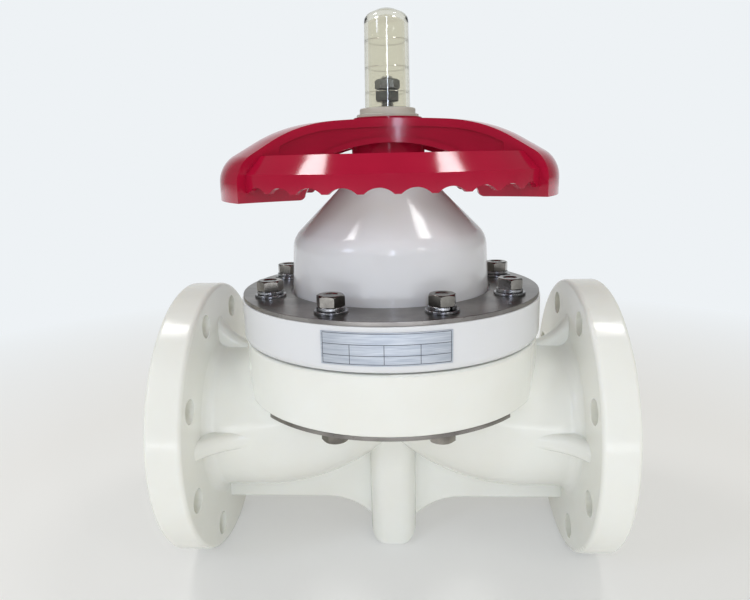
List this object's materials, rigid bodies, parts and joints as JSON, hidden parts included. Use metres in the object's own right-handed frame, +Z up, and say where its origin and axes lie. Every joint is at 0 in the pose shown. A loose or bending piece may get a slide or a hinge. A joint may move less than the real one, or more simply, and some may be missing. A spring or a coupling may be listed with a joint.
{
  "type": "diaphragm valve",
  "caption": "Flanged weir-type diaphragm valve with a bolted bonnet, a moulded handwheel with a wide arched bridge, and a clear domed position indicator over the rising stem end.",
  "frame": {"origin": "point on the floor below the middle of the pipe axis, at the middle of the foot's bottom face", "axes": "+X along the pipe towards the outlet flange, +Y away from the nameplate side, +Z up along the stem"},
  "size_m": [0.35, 0.252, 0.4431],
  "materials": {
    "ivory_pvdf": "moulded, softly glossy ivory",
    "white_pvdf": "moulded, cool white",
    "ptfe": "smooth white",
    "epdm": "black rubber",
    "stainless": "satin rolled plate and fasteners",
    "dark_steel": "dark grey",
    "bronze": "machined",
    "iron": "coated casting",
    "bearing_plastic": "turned",
    "red_plastic": "moulded crimson red",
    "clear_plastic": "clear, faint warm tint",
    "label_metal": "bare silver plate"
  },
  "bodies": {
    "valve": {"valve_body": "ivory_pvdf", "foot_inserts": "bronze", "body_insert_nuts": "bronze", "diaphragm": "ptfe", "diaphragm_cushion": "epdm", "bonnet": "white_pvdf", "bonnet_ring_plate": "stainless", "backing_plates": "stainless", "bonnet_bolts": "stainless", "flat_washers": "stainless", "spring_washers": "stainless", "bonnet_nuts": "stainless", "nameplate": "label_metal", "lower_thrust_ring": "bearing_plastic", "upper_thrust_ring": "bearing_plastic", "gland_ring": "bearing_plastic", "sleeve_seal": "epdm"},
    "wheel": {"handwheel": "red_plastic", "sleeve": "bronze", "wheel_key": "stainless", "wheel_ring_nut": "bronze", "cap_gasket": "epdm", "indicator_cap": "clear_plastic"},
    "stem": {"stem": "stainless", "compressor": "iron", "compressor_pin": "stainless", "diaphragm_stud": "stainless", "stop_nuts": "dark_steel"}
  },
  "joints": [
    {"name": "handwheel_turn", "type": "hinge", "parent": "valve", "child": "wheel", "pos_m": [0, 0, 0.3], "axis": [0, 0, 1], "range_deg": [0, 2700]},
    {"name": "stem_lift", "type": "slide", "parent": "valve", "child": "stem", "axis": [0, 0, 1], "range_m": [0, 0.045], "deforming": ["diaphragm", "diaphragm_cushion"]}
  ],
  "couplings": [
    {"joint": "stem_lift", "follows": "handwheel_turn", "m_per_rad": 0.00095492}
  ]
}
